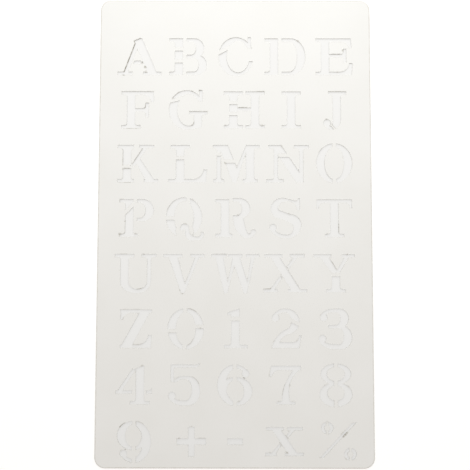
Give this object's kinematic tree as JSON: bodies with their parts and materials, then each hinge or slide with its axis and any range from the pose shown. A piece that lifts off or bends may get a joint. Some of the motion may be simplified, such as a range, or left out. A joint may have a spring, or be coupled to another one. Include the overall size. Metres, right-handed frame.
{
  "type": "lettering stencil",
  "caption": "Flat rectangular drawing stencil with rounded corners and rows of bridged slab-serif capital letters, digits and arithmetic signs cut through it.",
  "frame": {"origin": "centre of the plate's underside, in the middle of its length and width", "axes": "+X along the rows, from A to E; +Y towards the tops of the letters, along the plate's length; +Z out of the face on which the letters read the right way round"},
  "size_m": [0.104, 0.178, 0.0005],
  "materials": {
    "white_plastic": "matte, slightly milky, with faint brown laser marks along the cut edges"
  },
  "bodies": {
    "root": {"stencil_plate": "white_plastic"}
  },
  "joints": []
}
